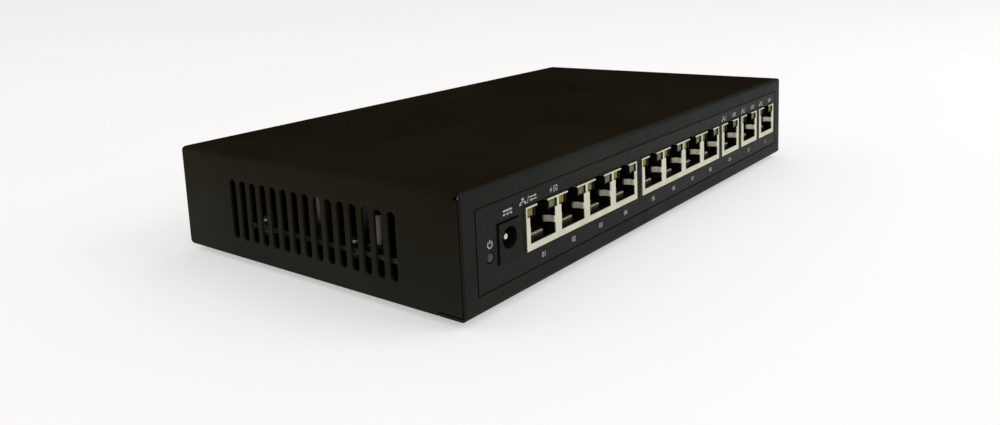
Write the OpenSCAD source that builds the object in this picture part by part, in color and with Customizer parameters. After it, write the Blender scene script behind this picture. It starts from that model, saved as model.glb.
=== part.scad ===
// Eleven-port desktop network switch in a folded steel case: an eight-port powered group
// (two ganged four-way jacks), three single uplink jacks, a barrel power inlet and one lamp.
// The origin is under the middle of the whole object, at the bottom of the rubber feet.
// X runs along the front from left to right, Y from the front to the back, Z up.

/* [Case] */
// Depth of the case from the front face to the back face
case_d = 124; // [112:1:200]
// Height of the case without its feet
case_h = 34; // [31:0.5:48]
// Thickness of the steel sheet
sheet = 0.8; // [0.7:0.05:1.2]
// Outer radius of every fold
bend_r = 1.5; // [1.3:0.1:2.5]
// Clearance between the cover and the chassis inside it
cover_fit = 0.15; // [0.05:0.05:0.3]
// Width of the open seam between the front plate and the cover
seam = 0.4; // [0.2:0.05:0.6]
// Radius of the sheet's rounded cut edges and corners
edge_r = 0.4; // [0.2:0.05:0.5]

/* [Cover vents] */
// Number of vent slots in each side
vent_count = 15; // [3:1:15]
// Distance from one slot to the next
vent_pitch = 5.1; // [4.2:0.1:6.4]
// Width of a slot
vent_w = 3.1; // [1.5:0.1:3.2]
// Height of a slot
vent_h = 19.7; // [10:0.1:22]
// Centre of the slot row, back from the front face
vent_y = 60.9; // [50:0.1:70]
// Middle of the slots, above the bottom of the case
vent_z = 15.9; // [14:0.1:18]

/* [Front label] */
// Width of the plain border around the front label
label_margin = 5.1; // [4:0.1:6]
// Depth of the pocket that the label lies in
label_pocket = 0.4; // [0.2:0.05:0.4]
// Thickness of the label
label_t = 0.35; // [0.1:0.05:0.35]
// Gap all round the label in its pocket
label_gap = 0.5; // [0.1:0.05:0.5]

/* [Board] */
// Height of the board's top face above the bottom of the case
board_z = 11.2; // [8:0.1:14]
// Thickness of the board
board_t = 1.6; // [0.8:0.1:2]
// Depth of the board
board_d = 92; // [88:1:110]
// Distance from the case's outer sides to the board's edges
board_side = 3.4; // [3:0.1:5]
// Distance from the case's front face to the board's front edge
board_front = 2.4; // [2:0.1:4]

/* [Jacks] */
// Distance between neighbouring ports of a ganged jack
port_pitch = 15.4; // [15.2:0.05:19]
// Width of a single jack
jack_w = 16.4; // [15.4:0.1:20]
// Height of every jack
jack_h = 12.7; // [12.6:0.1:15.5]
// Depth of every jack
jack_d = 25.0; // [22.5:0.1:31]
// Distance that the jacks stand out of the front face
jack_proud = 0.6; // [0.2:0.1:1.2]
// Distance from the case's left side to the first ganged jack
first_jack_x = 26.2; // [25.6:0.1:27.2]
// Gap between the two ganged jacks
gang_gap = 3.6; // [2.5:0.1:4]
// Gap beside each single jack
single_gap = 2.85; // [2.4:0.05:3.2]
// Distance from the last jack to the case's right side
last_jack_gap = 8.85; // [8:0.05:80]
// Clearance around a jack in the front face
jack_fit = 0.25; // [0.1:0.05:0.4]

/* [Power inlet] */
// Middle of the power inlet, from the case's left side
inlet_x = 18.8; // [17:0.1:20]
// Width of the power inlet
inlet_w = 9.0; // [8:0.1:9.5]
// Height of the power inlet
inlet_h = 11.0; // [10.4:0.1:13]
// Depth of the power inlet
inlet_d = 14.2; // [13.6:0.1:17]
// Diameter of the inlet's hole
inlet_bore = 6.2; // [5.7:0.1:6.6]
// Diameter of the inlet's centre contact
inlet_pin = 2.0; // [1.9:0.1:2.6]
// Clearance on the left of and above the inlet in the front plate
inlet_fit = 0.45; // [0.2:0.05:0.5]
// Clearance on the right of and below the inlet
inlet_fit_low = 0.15; // [0.1:0.05:0.3]
// Distance that the inlet stands out of the front face
inlet_proud = 0.45; // [0.1:0.05:0.6]

/* [Lamp] */
// Middle of the power lamp, from the case's left side
lamp_x = 10.8; // [9.5:0.1:12]
// Diameter of the power lamp
lamp_dia = 3.0; // [2.4:0.1:3.6]

/* [Feet and fasteners] */
// Height of the rubber feet
foot_h = 2.0; // [1:0.1:5]
// Diameter of a rubber foot
foot_dia = 10.0; // [8:0.5:14]
// Distance from the case's edges to the middle of a foot
foot_inset = 14.0; // [10:0.5:18]
// Thread diameter of all the screws
screw_dia = 3.0; // [2.5:0.1:3.5]
// Diameter of a screw's head
head_dia = 5.6; // [5:0.1:7]
// Height of a screw's head
head_h = 1.8; // [1.4:0.1:2.4]

/* [Hidden] */
$fn = 48;
eps = 0.01;

// Jacks, one list of [name, left edge, number of ports], and the case's width from them
gang_ports = 4;
jack_edge = 0.1;
gang_w = gang_ports * port_pitch + 2 * jack_edge;
gang_mid_x = first_jack_x + gang_w + gang_gap / 2;
single_x = gang_mid_x + gang_gap / 2 + gang_w + single_gap;
single_step = jack_w + single_gap;
JACKS = [
    ["a", first_jack_x, gang_ports],
    ["b", gang_mid_x + gang_gap / 2, gang_ports],
    ["9", single_x, 1],
    ["10", single_x + single_step, 1],
    ["11", single_x + 2 * single_step, 1],
];
jack_back = jack_d - jack_proud;
case_w = single_x + 2 * single_step + jack_w + last_jack_gap;
overall_d = jack_proud + case_d + head_h;

// Sheet metal
cover_top_y = bend_r + seam;
cover_side_y = sheet + seam;
wrap_len = 9.2;
tab_len = 9;
tab_x = sheet + cover_fit;
rear_y = case_d - sheet - cover_fit;
rear_flange_h = 9;
side_flange_h = 4.5;
side_flange_y = 13;
corner_drop = bend_r + 0.3;
corner_notch_h = 0.8;
corner_notch_l = 1.3;
tab_clear = 1.5;
lip_x = 6;

// Board
board_w = case_w - 2 * board_side;
board_back = board_front + board_d;
hole_play = 0.25;
standoff_r = 2.75;
standoff_foot_r = 2.1;
standoff_h = board_z - board_t - sheet;
magnet_d = 12;
magnet_y = jack_back + 6.1 + magnet_d / 2;
magnet_back = magnet_y + magnet_d / 2;
standoff_x = [board_side + 5, gang_mid_x, case_w - board_side - 5];
standoff_y = [magnet_back + 6, board_back - 5];

// Inside a jack
shield_t = 0.3;
frame_floor = 1.9;
opening_half = 6.1;
lamp_row_z = 9.6;
lamp_half = 7.25;
lamp_inner = 3.7;
latch_half = 3.1;
latch_gap_half = 2.5;
latch_notch = 3.5;
top_strip = 0.5;
housing_d = jack_d - 4.7;
cavity_half = 6.0;
cavity_depth = 14.5;
cavity_floor = 2.0;
cavity_top = 9.5;
latch_depth = 9;
latch_top = 12;
lamp_play = 0.05;
finger_z = 5.0;
finger_h = 1.9;
finger_t = 0.25;
finger_pocket_w = 0.7;
finger_pocket_d = 4.2;
finger_play = 0.3;
wire_pitch = 1.02;
wire_w = 0.42;
wire_t = 0.3;
wire_root = 0.7;
wire_bend_y = 3.2;
wire_slot = 1.3;
wire_show = 0.9;
wire_rise = 2.1;
wires = 8;
pin_rows = [14, 16.5];
pin_drop = 2.4;
pin_hole_r = 0.45;
lens_len = 6;
lens_back = 0.45;
lead_y = housing_d + shield_t + 1;
lead_z = 10.6;
lead_half = 0.64;
lead_t = 0.4;
shield_peg_w = 1.6;
shield_peg_y = [8.5, 18.5];
shield_peg_hole_r = 1.0;

// Power inlet and lamp, in heights above the board
inlet_axis_z = 6.5;
inlet_bore_d = 10;
leaf_w = 2.2;
leaf_z = 2.9;
leaf_tail_y = 11.8;
leaf_t = 0.3;
leaf_play = 0.15;
pin_tip = 0.5;
pin_back = 1.4;
inlet_tag_y = inlet_d + 0.4;
inlet_tag_w = 2.2;
inlet_tag_t = 0.8;
inlet_hole_r = 1.25;
lamp_z = 3.1;
lamp_body_len = 5.4;
lamp_lead_half = 1.27;

// Parts on the board: [middle x, middle y, size x, size y, height]
chip = [gang_mid_x + 18, magnet_back + 24, 24, 24, 1.6];
sink = [chip[0], chip[1], 30, 30, 11];
sink_base = 2.6;
sink_fins = 9;
sink_fin_t = 1.1;
pse_a = [first_jack_x + gang_w / 2, magnet_back + 10, 10, 10, 1.2];
pse_b = [gang_mid_x + gang_w - 8, magnet_back + 10, 10, 10, 1.2];
flash = [chip[0] + 19, chip[1] + 14, 5.2, 4, 1.6];
crystal = [chip[0] - 27, chip[1] + 12, 11, 4.6, 3.4];
column_x = board_side + 7.4;
coil = [column_x + 13, magnet_back + 10.5, 12.4, 12.4, 8];
fuse = [inlet_x, inlet_d + 7.8, 10, 3, 3];
bridge = [inlet_x + 2, fuse[1] + 8, 8, 7, 2.4];
regulator = [column_x + 13, coil[1] + 15, 6.6, 6.2, 2.3];
magnet_h = 5.8;
gap_under = 0.2;
can_base_h = 1.2;
// Electrolytic cans: [middle x, middle y, diameter, height]
CANS = [
    [standoff_x[0] + 0.1, standoff_y[0] - 9.7, 5, 9],
    [standoff_x[0] + 6.6, standoff_y[0] + 22.3, 5, 9],
    [inlet_x + 26, magnet_back + 22, 10, 10.2],
];

// ---- Helpers -------------------------------------------------------------------------------

// Case coordinates: from the left, the front face and the bottom of the case
module in_case() translate([-case_w / 2, jack_proud - overall_d / 2, foot_h]) children();

// A flat shape drawn in X and Z, given a thickness back from y
module plate_xz(y, t) translate([0, y + t, 0]) rotate([90, 0, 0]) linear_extrude(t) children();

// A flat shape drawn in Y and Z, given a thickness to the right from x
module plate_yz(x, t) translate([x, 0, 0]) rotate([90, 0, 90]) linear_extrude(t) children();

module rounded_rect(w, h, r) {
    translate([r, 0]) square([w - 2 * r, h]);
    translate([0, r]) square([w, h - 2 * r]);
    for (x = [r, w - r], y = [r, h - r]) translate([x, y]) circle(r);
}

// A slot with round ends, standing upright about its middle
module upright_slot(w, h) {
    square([w, h - w], center = true);
    for (s = [-1, 1]) translate([0, s * (h - w) / 2]) circle(w / 2);
}

// A box with its base's middle at [x, y, z]
module block(x, y, z, w, d, h) translate([x - w / 2, y - d / 2, z]) cube([w, d, h]);

// A ribbon of constant thickness along a path, as the outline of a flat shape
function unit(v) = v / norm(v);
function left_of(v) = [-v[1], v[0]];
function leg(path, i) = unit(path[i] - path[i - 1]);
function mitre(path, i) =
    let (n = len(path) - 1, m = left_of(leg(path, max(i, 1))) + left_of(leg(path, min(i + 1, n))))
    2 * m / (m * m);
function ribbon(path, t) = concat(
    [for (i = [0:len(path) - 1]) path[i] + mitre(path, i) * t / 2],
    [for (i = [len(path) - 1:-1:0]) path[i] - mitre(path, i) * t / 2]
);

// A bent wire or strip whose path is drawn in Y and Z
module wire_yz(x, path, t, w) plate_yz(x - w / 2, w) polygon(ribbon(path, t));

// A pan-head screw along +Z with its head on top, seated at z = 0
module screw(len) {
    recess_w = screw_dia * 0.25;
    recess_l = head_dia * 0.6;
    recess_d = head_h * 0.55;
    difference() {
        union() {
            translate([0, 0, -len]) cylinder(d = screw_dia, h = len + eps);
            cylinder(d = head_dia, h = head_h * 0.6);
            translate([0, 0, head_h * 0.6]) cylinder(d1 = head_dia, d2 = head_dia * 0.7, h = head_h * 0.4);
        }
        block(0, 0, head_h - recess_d, recess_l, recess_w, head_h);
        block(0, 0, head_h - recess_d, recess_w, recess_l, head_h);
    }
}

// ---- Layout of the jacks -------------------------------------------------------------------

function jack_named(name) = [for (j = JACKS) if (j[0] == name) j][0];
function width_of(j) = j[2] == 1 ? jack_w : gang_w;
function step_of(j) = (width_of(j) - 2 * jack_edge) / j[2];
function ports_of(j) = [for (i = [0:j[2] - 1]) jack_edge + step_of(j) * (i + 0.5)];

// Jack coordinates: from the jack's left side, its front and the top of the board
module at_jack(j) in_case() translate([j[1], -jack_proud, board_z]) children();

// The holes for every jack, the inlet and the power lamp in the front plate and in the label
module front_openings() {
    for (j = JACKS) translate([j[1] - jack_fit, board_z - jack_fit])
        square([width_of(j) + 2 * jack_fit, jack_h + 2 * jack_fit]);
    translate([inlet_x - inlet_w / 2 - inlet_fit, board_z - inlet_fit_low])
        square([inlet_w + inlet_fit + inlet_fit_low, inlet_h + inlet_fit + inlet_fit_low]);
    translate([lamp_x, board_z + lamp_z]) circle(d = lamp_dia + hole_play);
}

// ---- Case ----------------------------------------------------------------------------------

// The front plate: cut edges left and right, and a fold above and below that starts at its back
module front_plate() {
    difference() {
        intersection() {
            linear_extrude(case_h) rounded_rect(case_w, 3 * bend_r, edge_r);
            fold_profile();
            cube([case_w, sheet, case_h]);
        }
        plate_xz(-eps, label_pocket + eps) translate([label_margin, label_margin])
            square([case_w - 2 * label_margin, case_h - 2 * label_margin]);
    }
    intersection() {
        fold_profile();
        translate([tab_x, sheet - eps, 0]) cube([case_w - 2 * tab_x, bend_r - sheet + 2 * eps, case_h]);
    }
    intersection() {
        fold_profile();
        translate([0, sheet - eps, 0]) cube([case_w, bend_r - sheet + 2 * eps, bend_r]);
    }
}

// A sheet that runs forward, up and back again, with a rounded fold at both corners
module fold_profile() plate_yz(0, case_w) difference() {
    rounded_rect(3 * bend_r, case_h, bend_r);
    translate([sheet, sheet]) rounded_rect(3 * bend_r, case_h - 2 * sheet, bend_r - sheet);
}

module chassis_floor() {
    difference() {
        union() {
            translate([0, bend_r - eps, 0]) cube([case_w, wrap_len - bend_r, sheet]);
            translate([tab_x, bend_r - eps, 0])
                cube([case_w - 2 * tab_x, rear_y - 2 * bend_r + 2 * eps, sheet]);
        }
        for (x = standoff_x, y = standoff_y) translate([x, y, -eps])
            cylinder(r = standoff_foot_r, h = sheet + 2 * eps);
    }
}

// The back wall and the fold that joins it to the floor
module chassis_back() {
    plate_yz(tab_x, case_w - 2 * tab_x) difference() {
        translate([rear_y - 3 * bend_r, 0]) rounded_rect(3 * bend_r, case_h + bend_r, bend_r);
        translate([rear_y - 4 * bend_r, sheet])
            rounded_rect(4 * bend_r - sheet, case_h + bend_r, bend_r - sheet);
        translate([rear_y - 4 * bend_r, -eps]) square([2.5 * bend_r, case_h]);
        translate([rear_y - 4 * bend_r, case_h - bend_r]) square([5 * bend_r, 3 * bend_r]);
    }
}

// Tabs behind the front plate for the cover's sides and top, and flanges along the floor's edges
module chassis_tabs() {
    tab_z = bend_r + tab_clear;
    for (x = [tab_x, case_w - tab_x - sheet]) {
        translate([x, sheet - eps, tab_z]) cube([sheet, tab_len, case_h - 2 * tab_z]);
        translate([x, side_flange_y, sheet - eps])
            cube([sheet, rear_y - 4 * bend_r - side_flange_y, side_flange_h]);
    }
    translate([lip_x, sheet - eps, case_h - 2 * sheet - cover_fit])
        cube([case_w - 2 * lip_x, tab_len, sheet]);
}

module base_chassis() color([0.13, 0.13, 0.12]) in_case() difference() {
    union() {
        front_plate();
        chassis_floor();
        chassis_back();
        chassis_tabs();
    }
    plate_xz(-1, sheet + 2) front_openings();
    cover_screw_holes(rear_y - 2 * sheet, screw_dia / 2);
}

COVER_SCREWS = [for (k = [-1, 0, 1]) case_w / 2 + k * (case_w / 2 - 20)];
module cover_screw_holes(y, r) for (x = COVER_SCREWS)
    translate([x, y, case_h - rear_flange_h / 2]) rotate([-90, 0, 0]) cylinder(r = r, h = 3 * sheet);

module vents() for (i = [0:vent_count - 1])
    translate([vent_y + (i - (vent_count - 1) / 2) * vent_pitch, vent_z]) upright_slot(vent_w, vent_h);

// The outline of one side of the cover: rounded at the back, and notched around the chassis in front
module cover_side_outline() difference() {
    translate([cover_side_y, 0]) far_rounded_rect(case_d - cover_side_y, case_h, bend_r);
    translate([0, -1]) square([wrap_len + seam, 1 + sheet + seam]);
    translate([0, case_h - corner_drop]) square([cover_side_y + corner_notch_l, corner_notch_h]);
    translate([0, case_h - corner_drop]) square([cover_top_y, bend_r + 1]);
    vents();
}

// A rectangle from the origin whose two far corners are rounded
module far_rounded_rect(w, h, r) intersection() {
    translate([-r, 0]) rounded_rect(w + r, h, r);
    square([w, h]);
}

// An inverted U whose two folds run along the case
module cover_bend() plate_xz(cover_side_y, case_d - cover_side_y) difference() {
    translate([0, -bend_r]) rounded_rect(case_w, case_h + bend_r, bend_r);
    translate([sheet, -2 * bend_r])
        rounded_rect(case_w - 2 * sheet, case_h + 2 * bend_r - sheet, bend_r - sheet);
}

// The flange at the back of the cover, from where the flat top ends
module cover_rear_flange() {
    inset = bend_r + 0.5;
    plate_yz(inset, case_w - 2 * inset) intersection() {
        difference() {
            translate([case_d - 3 * bend_r, case_h - rear_flange_h])
                rounded_rect(3 * bend_r, rear_flange_h, bend_r);
            translate([case_d - 4 * bend_r, case_h - rear_flange_h - bend_r])
                rounded_rect(4 * bend_r - sheet, rear_flange_h + bend_r - sheet, bend_r - sheet);
        }
        union() {
            translate([case_d - bend_r - 2 * eps, 0]) square([2 * bend_r, case_h - bend_r]);
            translate([case_d - bend_r - 2 * eps, case_h - 2 * bend_r]) square([2 * bend_r, 2 * bend_r]);
        }
    }
}

module top_cover() color([0.11, 0.10, 0.08]) in_case() difference() {
    union() {
        intersection() {
            cover_bend();
            union() {
                plate_yz(-1, bend_r + 1) cover_side_outline();
                plate_yz(case_w - bend_r, bend_r + 1) cover_side_outline();
                translate([bend_r - eps, cover_top_y, case_h / 2])
                    cube([case_w - 2 * bend_r + 2 * eps, case_d - bend_r - cover_top_y, case_h]);
            }
        }
        cover_rear_flange();
    }
    cover_screw_holes(case_d - 2 * sheet, screw_dia / 2 + hole_play);
}

module front_label() color([0.15, 0.15, 0.145]) in_case()
    plate_xz(label_pocket - label_t, label_t) difference() {
        inset = label_margin + label_gap;
        translate([inset, inset]) square([case_w - 2 * inset, case_h - 2 * inset]);
        front_openings();
    }

module cover_screws() color([0.2, 0.2, 0.2]) in_case() for (x = COVER_SCREWS)
    translate([x, case_d, case_h - rear_flange_h / 2]) rotate([-90, 0, 0]) screw(4);

// A foot at one corner: a low rubber cone with a softened edge
module foot(x, y) color([0.05, 0.05, 0.05]) translate([-case_w / 2, jack_proud - overall_d / 2, 0])
    translate([x, y, 0]) {
        edge = min(0.6, foot_h / 3);
        cylinder(d1 = foot_dia - 2 * edge, d2 = foot_dia, h = edge);
        translate([0, 0, edge - eps]) cylinder(d = foot_dia, h = foot_h - edge + eps);
    }

// ---- Board ---------------------------------------------------------------------------------

module board_standoffs() color([0.75, 0.72, 0.62]) in_case() for (x = standoff_x, y = standoff_y)
    translate([x, y, 0]) difference() {
        union() {
            cylinder(r = standoff_foot_r - 0.02, h = sheet);
            translate([0, 0, sheet]) cylinder(r = standoff_r, h = standoff_h);
        }
        translate([0, 0, sheet]) cylinder(d = screw_dia + 0.04, h = standoff_h + 1);
    }

module board_screws() color([0.75, 0.75, 0.75]) in_case() for (x = standoff_x, y = standoff_y)
    translate([x, y, board_z]) screw(min(5, standoff_h + board_t - 1));

module jack_holes(j) translate([j[1], -jack_proud]) {
    for (x = ports_of(j)) {
        for (k = [0:wires - 1]) translate([x + (k - (wires - 1) / 2) * wire_pitch, pin_rows[k % 2]])
            circle(pin_hole_r, $fn = 16);
        for (s = [-1, 1], q = [-1, 1])
            translate([x + s * (lamp_half + lamp_inner) / 2 + q * lead_half, lead_y])
                circle(pin_hole_r, $fn = 16);
    }
    for (x = [shield_t / 2, width_of(j) - shield_t / 2], y = shield_peg_y)
        translate([x, y]) circle(shield_peg_hole_r, $fn = 24);
}

module main_board() color([0.05, 0.22, 0.10]) in_case()
    translate([0, 0, board_z - board_t]) linear_extrude(board_t) difference() {
        translate([board_side, board_front]) square([board_w, board_d]);
        for (x = standoff_x, y = standoff_y) translate([x, y]) circle(d = screw_dia + 2 * hole_play);
        for (j = JACKS) jack_holes(j);
        for (y = [leaf_tail_y, inlet_tag_y]) translate([inlet_x, y - inlet_proud])
            circle(inlet_hole_r, $fn = 24);
        for (s = [-1, 1]) translate([lamp_x + s * lamp_lead_half, lamp_body_len + 1.4])
            circle(pin_hole_r, $fn = 16);
    }

// ---- Jacks ---------------------------------------------------------------------------------

// The hole in the shield's front around one port
module port_window() {
    translate([-opening_half, frame_floor]) square([2 * opening_half, lamp_row_z - frame_floor + eps]);
    translate([-lamp_half, lamp_row_z]) square([2 * lamp_half, jack_h - top_strip - lamp_row_z]);
    translate([-latch_gap_half, jack_h - top_strip - eps]) square([2 * latch_gap_half, 1]);
}

// One spring finger, from the window's edge in towards the plug
FINGER = [[6.4, 0.13], [6.05, 0.13], [5.82, 0.5], [5.66, 2.0], [4.86, 3.1], [4.95, 3.9]];
module finger() translate([0, 0, finger_z]) linear_extrude(finger_h) polygon(ribbon(FINGER, finger_t));

module jack_shield(name) {
    j = jack_named(name);
    w = width_of(j);
    color([0.86, 0.84, 0.76]) at_jack(j) {
        difference() {
            cube([w, jack_d, jack_h]);
            translate([shield_t, shield_t, -1])
                cube([w - 2 * shield_t, jack_d - 2 * shield_t, jack_h + 1 - shield_t]);
            for (x = ports_of(j)) {
                plate_xz(-1, 1 + shield_t + eps) translate([x, 0]) port_window();
                translate([x - latch_gap_half, -1, jack_h - top_strip])
                    cube([2 * latch_gap_half, 1 + latch_notch, 1]);
            }
        }
        for (x = ports_of(j), s = [0, 1]) translate([x, 0, 0]) mirror([s, 0, 0]) finger();
        for (x = [0, w - shield_t], y = shield_peg_y)
            translate([x, y - shield_peg_w / 2, -pin_drop]) cube([shield_t, shield_peg_w, pin_drop + 1]);
    }
}

// The room inside one port: the plug's, the latch's, the two lamps', the fingers' and the wires'
module port_cavity() {
    translate([-cavity_half, -1, cavity_floor])
        cube([2 * cavity_half, cavity_depth + 1, cavity_top - cavity_floor]);
    translate([-latch_half, -1, cavity_top - eps]) {
        cube([2 * latch_half, latch_depth + 1, latch_top - cavity_top]);
        cube([2 * latch_half, latch_notch + 1, jack_h]);
    }
    for (s = [0, 1]) mirror([s, 0, 0]) {
        translate([lamp_inner - lamp_play, -1, lamp_row_z - lamp_play])
            cube([lamp_half - lamp_inner + 2 * lamp_play, jack_d, jack_h]);
        translate([cavity_half - eps, -1, finger_z - finger_play])
            cube([finger_pocket_w + eps, finger_pocket_d + 1, finger_h + 2 * finger_play]);
    }
    wire_half = wires / 2 * wire_pitch + 0.1;
    translate([-wire_half, wire_bend_y - wire_slot / 2, -1]) {
        cube([2 * wire_half, jack_d, 1 + wire_slot]);
        cube([2 * wire_half, wire_slot, 2 + cavity_floor]);
    }
}

module jack_housing(name) {
    j = jack_named(name);
    w = width_of(j) - 2 * shield_t;
    color([0.06, 0.06, 0.06]) at_jack(j) difference() {
        translate([shield_t, shield_t, 0]) cube([w, housing_d, jack_h - shield_t]);
        for (x = ports_of(j)) translate([x, 0, 0]) port_cavity();
    }
}

module jack_contacts(name) {
    j = jack_named(name);
    color([0.95, 0.75, 0.35]) at_jack(j) for (x = ports_of(j), k = [0:wires - 1]) {
        pin_y = pin_rows[k % 2];
        path = [[pin_y, -pin_drop], [pin_y, wire_root], [wire_bend_y, wire_root],
            [wire_bend_y, cavity_floor + wire_show], [10.6, cavity_floor + wire_rise]];
        wire_yz(x + (k - (wires - 1) / 2) * wire_pitch, path, wire_t, wire_w);
    }
}

// The lamp on one side of every port: s is -1 for the left, 1 for the right
module port_lenses(s) for (j = JACKS) at_jack(j) for (x = ports_of(j))
    translate([x + (s > 0 ? lamp_inner : -lamp_half), shield_t + lens_back, lamp_row_z])
        cube([lamp_half - lamp_inner, lens_len, jack_h - top_strip - lamp_row_z]);

module link_lamps() color([0.80, 0.76, 0.42]) port_lenses(-1);

module power_lamps() color([0.50, 0.60, 0.38]) port_lenses(1);

module lamp_leads() color([0.8, 0.8, 0.78]) for (j = JACKS) at_jack(j)
    for (x = ports_of(j), s = [-1, 1], q = [-1, 1]) {
        path = [[shield_t + lens_back + lens_len, lead_z], [lead_y, lead_z], [lead_y, -pin_drop]];
        wire_yz(x + s * (lamp_half + lamp_inner) / 2 + q * lead_half, path, lead_t, lead_t);
    }

// ---- Power inlet and lamp ------------------------------------------------------------------

module at_inlet() in_case() translate([inlet_x, -inlet_proud, board_z]) children();
module along_inlet(y, d, len) translate([0, y, inlet_axis_z]) rotate([-90, 0, 0]) cylinder(d = d, h = len);

module inlet_body() color([0.04, 0.04, 0.04]) at_inlet() difference() {
    slot_w = leaf_w + 2 * leaf_play;
    step_d = 3;
    step_h = 1.5;
    block(0, inlet_d / 2, 0, inlet_w, inlet_d, inlet_h);
    along_inlet(-1, inlet_bore, inlet_bore_d + 1);
    along_inlet(0, inlet_pin + 0.1, inlet_d + 1);
    translate([-slot_w / 2, 2.7, leaf_z - 0.4]) cube([slot_w, leaf_tail_y - 2.4, 1.4]);
    block(0, leaf_tail_y, -1, slot_w, leaf_t + 0.4, leaf_z + 1.4);
    translate([-inlet_w, inlet_d - step_d, inlet_h - step_h]) cube([2 * inlet_w, step_d + 1, 2 * step_h]);
}

// The centre pin with its round tip, and the tag that joins it to the board
module inlet_pin_contact() color([0.85, 0.83, 0.78]) at_inlet() {
    translate([0, pin_back, inlet_axis_z]) rotate([-90, 0, 0]) {
        cylinder(d1 = inlet_pin - pin_tip, d2 = inlet_pin, h = pin_tip);
        translate([0, 0, pin_tip - eps])
            cylinder(d = inlet_pin, h = inlet_d - pin_back - pin_tip + eps);
    }
    plate_xz(inlet_tag_y - inlet_tag_t / 2, inlet_tag_t) {
        translate([0, inlet_axis_z]) circle(inlet_pin * 0.9);
        translate([-inlet_tag_w / 2, -pin_drop]) square([inlet_tag_w, inlet_axis_z + pin_drop]);
    }
}

LEAF = [[leaf_tail_y, -pin_drop], [leaf_tail_y, leaf_z], [8.4, leaf_z], [5.6, leaf_z + 0.8], [3.2, leaf_z]];
module inlet_leaf_contact() color([0.85, 0.83, 0.78]) at_inlet() wire_yz(0, LEAF, leaf_t, leaf_w);

// The lens is a bullet that looks out through the front face
module power_lamp() color([0.62, 0.66, 0.64]) in_case()
    translate([lamp_x, 0.1, board_z + lamp_z]) rotate([-90, 0, 0]) {
        dome = lamp_dia * 0.3;
        rotate_extrude() intersection() {
            translate([0, dome]) circle(d = lamp_dia);
            square([lamp_dia / 2, dome + 1]);
        }
        translate([0, 0, dome]) cylinder(d = lamp_dia, h = lamp_body_len - dome);
        translate([0, 0, lamp_body_len - 1]) cylinder(d = lamp_dia + 0.7, h = 1);
    }

module power_lamp_leads() color([0.8, 0.8, 0.78]) in_case() for (s = [-1, 1]) {
    y = lamp_body_len + 0.1;
    path = [[y, board_z + lamp_z], [y + 1.3, board_z + lamp_z], [y + 1.3, board_z - pin_drop]];
    wire_yz(lamp_x + s * lamp_lead_half, path, 0.5, 0.5);
}

// ---- Parts on the board --------------------------------------------------------------------

// A part given as [middle x, middle y, size x, size y, height], lifted by z above the board
module part_block(p, z) in_case() block(p[0], p[1], board_z + z, p[2], p[3], p[4]);

// Folded leads along the two long sides of a part, or along the other two when turned: n a side
module gull_leads(p, n, pitch, w, rise, turn = 0) in_case()
    translate([p[0], p[1], board_z + 0.12]) rotate(turn) for (s = [0, 1], i = [0:n - 1]) mirror([0, s, 0]) {
        y = p[3] / 2;
        path = [[y, rise], [y + 0.6, rise], [y + 1, 0], [y + 1.8, 0]];
        wire_yz((i - (n - 1) / 2) * pitch, path, 0.2, w);
    }

function magnet_of(j, k) = [j[1] + width_of(j) * (k + 0.5) / magnets_in(j), magnet_y,
    j[2] == 1 ? 14 : 28, magnet_d, magnet_h];
function magnets_in(j) = j[2] == 1 ? 1 : 2;

module magnetics(name) {
    j = jack_named(name);
    for (k = [0:magnets_in(j) - 1]) color([0.08, 0.08, 0.08]) part_block(magnet_of(j, k), gap_under);
}

module magnetics_leads() color([0.8, 0.8, 0.78]) for (j = JACKS, k = [0:magnets_in(j) - 1])
    gull_leads(magnet_of(j, k), j[2] == 1 ? 6 : 12, 2, 0.5, 1.2);

module switch_chip() color([0.07, 0.07, 0.07]) part_block(chip, gap_under);

module switch_chip_leads() color([0.8, 0.8, 0.78]) for (turn = [0, 90])
    gull_leads(chip, 18, 1.2, 0.4, 0.8, turn);

module heat_sink() color([0.15, 0.15, 0.16]) {
    z = gap_under + chip[4];
    part_block([sink[0], sink[1], sink[2], sink[3], sink_base], z);
    step = (sink[2] - sink_fin_t) / (sink_fins - 1);
    for (i = [0:sink_fins - 1]) part_block(
        [sink[0] + (i - (sink_fins - 1) / 2) * step, sink[1], sink_fin_t, sink[3], sink[4]], z);
}

module leadless_chip(p) color([0.07, 0.07, 0.07]) part_block(p, 0);

module clock_crystal() color([0.8, 0.8, 0.8]) in_case()
    translate([crystal[0] - crystal[2] / 2, crystal[1] - crystal[3] / 2, board_z])
        linear_extrude(crystal[4]) rounded_rect(crystal[2], crystal[3], crystal[3] / 2 - eps);

module choke_coil() color([0.2, 0.2, 0.2]) in_case() translate([coil[0], coil[1], board_z]) difference() {
    translate([-coil[2] / 2, -coil[3] / 2, 0]) linear_extrude(coil[4]) rounded_rect(coil[2], coil[3], 2);
    translate([0, 0, coil[4] - 1]) cylinder(d = coil[2] * 0.45, h = 2);
}

module capacitor_bases() color([0.05, 0.05, 0.05]) in_case() for (c = CANS) {
    side = c[2] + 0.4;
    translate([c[0], c[1], board_z]) linear_extrude(can_base_h) difference() {
        square(side, center = true);
        for (s = [-1, 1]) translate([s * side / 2, -side / 2]) rotate(45) square(side / 4, center = true);
    }
}

module capacitor_cans() color([0.78, 0.76, 0.74]) in_case() for (c = CANS)
    translate([c[0], c[1], board_z + can_base_h]) rotate_extrude() {
        rim = c[2] * 0.06;
        square([c[2] / 2 - rim, c[3]]);
        square([c[2] / 2, c[3] - rim]);
        translate([c[2] / 2 - rim, c[3] - rim]) circle(rim - eps);
    }

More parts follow.
